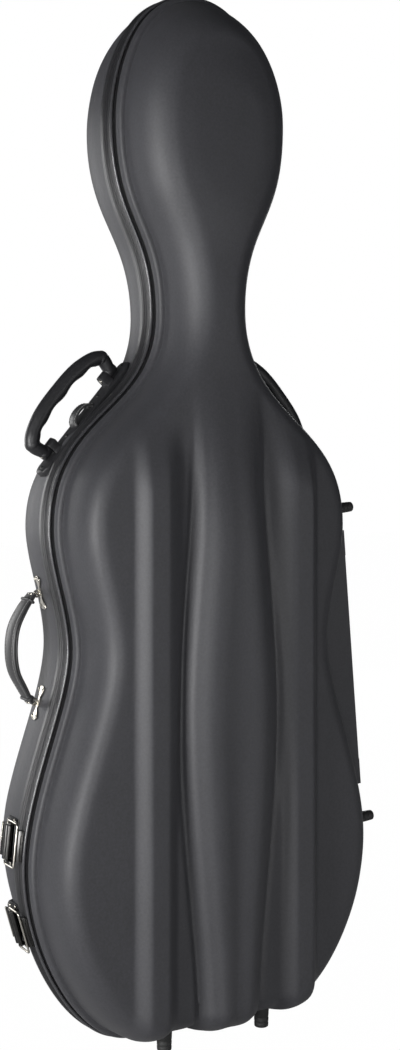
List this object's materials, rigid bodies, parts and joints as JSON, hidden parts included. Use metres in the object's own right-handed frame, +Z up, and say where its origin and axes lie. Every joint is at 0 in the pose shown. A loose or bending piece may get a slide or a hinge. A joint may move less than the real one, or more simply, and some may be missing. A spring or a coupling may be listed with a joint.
{
  "type": "cello case",
  "caption": "Upright hard case for a cello: domed rear shell, ribbed lid on a waist hinge, draw latches, carrying handles, side strap, rubber feet and padded inside.",
  "frame": {"origin": "on the floor under the middle of the whole case, at the height of the undersides of its feet", "axes": "+Z up the case to its head, +X to its right, where the lid hinge is, +Y to its back; the lid faces -Y"},
  "size_m": [0.5052, 0.2958, 1.334],
  "materials": {
    "leatherette": "satin grained",
    "binding": "satin",
    "piping": "gloss",
    "steel": "polished",
    "rubber": "matt",
    "handle_plastic": "satin",
    "strap_leather": "satin",
    "plush": "short pile"
  },
  "bodies": {
    "case_base": {"base_shell": "leatherette", "base_rim": "binding", "rim_seal": "rubber", "base_lining": "plush", "hinge_leaf_base": "binding", "hinge_pin": "steel", "strap_bracket_lower": "steel", "strap_bracket_upper": "steel", "left_handle_mount": "handle_plastic", "right_handle_mount": "handle_plastic", "left_strap_loop": "strap_leather", "right_strap_loop": "strap_leather", "upper_latch_plate": "steel", "lower_latch_plate": "steel", "base_stud_upper": "rubber", "base_stud_lower": "rubber", "base_foot_left": "rubber", "base_foot_right": "rubber", "neck_cradle": "plush", "left_waist_pad": "plush", "right_waist_pad": "plush", "left_shoulder_pad": "plush", "right_shoulder_pad": "plush", "endpin_cup": "rubber"},
    "lid": {"lid_shell": "leatherette", "lid_rim": "binding", "lid_piping": "piping", "lid_lining": "plush", "hinge_leaf_lid": "binding", "upper_latch_keeper": "steel", "lower_latch_keeper": "steel", "lid_stud_upper": "rubber", "lid_stud_lower": "rubber", "lid_foot_left": "rubber", "lid_foot_right": "rubber", "left_bow_block": "plush", "right_bow_block": "plush", "left_frog_pocket": "plush", "right_frog_pocket": "plush"},
    "side_strap": {"strap_ring_lower": "steel", "strap_ring_upper": "steel", "handle_strap": "strap_leather"},
    "left_grip": {"left_handle_grip": "handle_plastic", "left_handle_pin_lower": "steel", "left_handle_pin_upper": "steel"},
    "right_grip": {"right_handle_grip": "handle_plastic", "right_handle_pin_lower": "steel", "right_handle_pin_upper": "steel"},
    "upper_lever": {"upper_latch_lever": "steel"},
    "upper_bail": {"upper_latch_bail": "steel"},
    "lower_lever": {"lower_latch_lever": "steel"},
    "lower_bail": {"lower_latch_bail": "steel"},
    "neck_band": {"neck_strap": "strap_leather"},
    "left_catch": {"left_bow_catch": "strap_leather"},
    "right_catch": {"right_bow_catch": "strap_leather"}
  },
  "joints": [
    {"name": "lid_hinge", "type": "hinge", "parent": "case_base", "child": "lid", "pos_m": [0.22193, -0.00209, 0.4645], "axis": [-0.0832, 0, 0.9965], "range_deg": [0, 110]},
    {"name": "strap_swing", "type": "hinge", "parent": "case_base", "child": "side_strap", "pos_m": [-0.19792, 0.03791, 0.49462], "axis": [0.0249, 0, 0.9997], "range_deg": [-60, 50]},
    {"name": "left_grip_swing", "type": "hinge", "parent": "case_base", "child": "left_grip", "pos_m": [-0.14682, 0.02091, 0.79487], "axis": [0.6572, 0, 0.7537], "range_deg": [-80, 35]},
    {"name": "right_grip_swing", "type": "hinge", "parent": "case_base", "child": "right_grip", "pos_m": [0.13601, 0.02091, 0.79487], "axis": [-0.6572, 0, 0.7537], "range_deg": [-35, 80]},
    {"name": "upper_lever_turn", "type": "hinge", "parent": "case_base", "child": "upper_lever", "pos_m": [-0.24597, 0.01091, 0.26094], "axis": [0.1337, 0, 0.991], "range_deg": [0, 105]},
    {"name": "upper_bail_turn", "type": "hinge", "parent": "upper_lever", "child": "upper_bail", "pos_m": [-0.24597, 0.01741, 0.26094], "axis": [0.1337, 0, 0.991], "range_deg": [-105, 0]},
    {"name": "lower_lever_turn", "type": "hinge", "parent": "case_base", "child": "lower_lever", "pos_m": [-0.23681, 0.01091, 0.15342], "axis": [-0.226, 0, 0.9741], "range_deg": [0, 105]},
    {"name": "lower_bail_turn", "type": "hinge", "parent": "lower_lever", "child": "lower_bail", "pos_m": [-0.23681, 0.01741, 0.15342], "axis": [-0.226, 0, 0.9741], "range_deg": [-105, 0]},
    {"name": "neck_band_turn", "type": "hinge", "parent": "case_base", "child": "neck_band", "pos_m": [-0.0384, 0.00661, 0.891], "axis": [0, 0, 1], "range_deg": [-80, 0]},
    {"name": "left_catch_turn", "type": "hinge", "parent": "lid", "child": "left_catch", "pos_m": [-0.0884, -0.08809, 0.601], "axis": [0, 1, 0], "range_deg": [0, 90]},
    {"name": "right_catch_turn", "type": "hinge", "parent": "lid", "child": "right_catch", "pos_m": [0.0776, -0.08809, 0.601], "axis": [0, 1, 0], "range_deg": [-90, 0]}
  ],
  "couplings": [
    {"joint": "upper_bail_turn", "follows": "upper_lever_turn", "ratio": -1},
    {"joint": "lower_bail_turn", "follows": "lower_lever_turn", "ratio": -1}
  ]
}
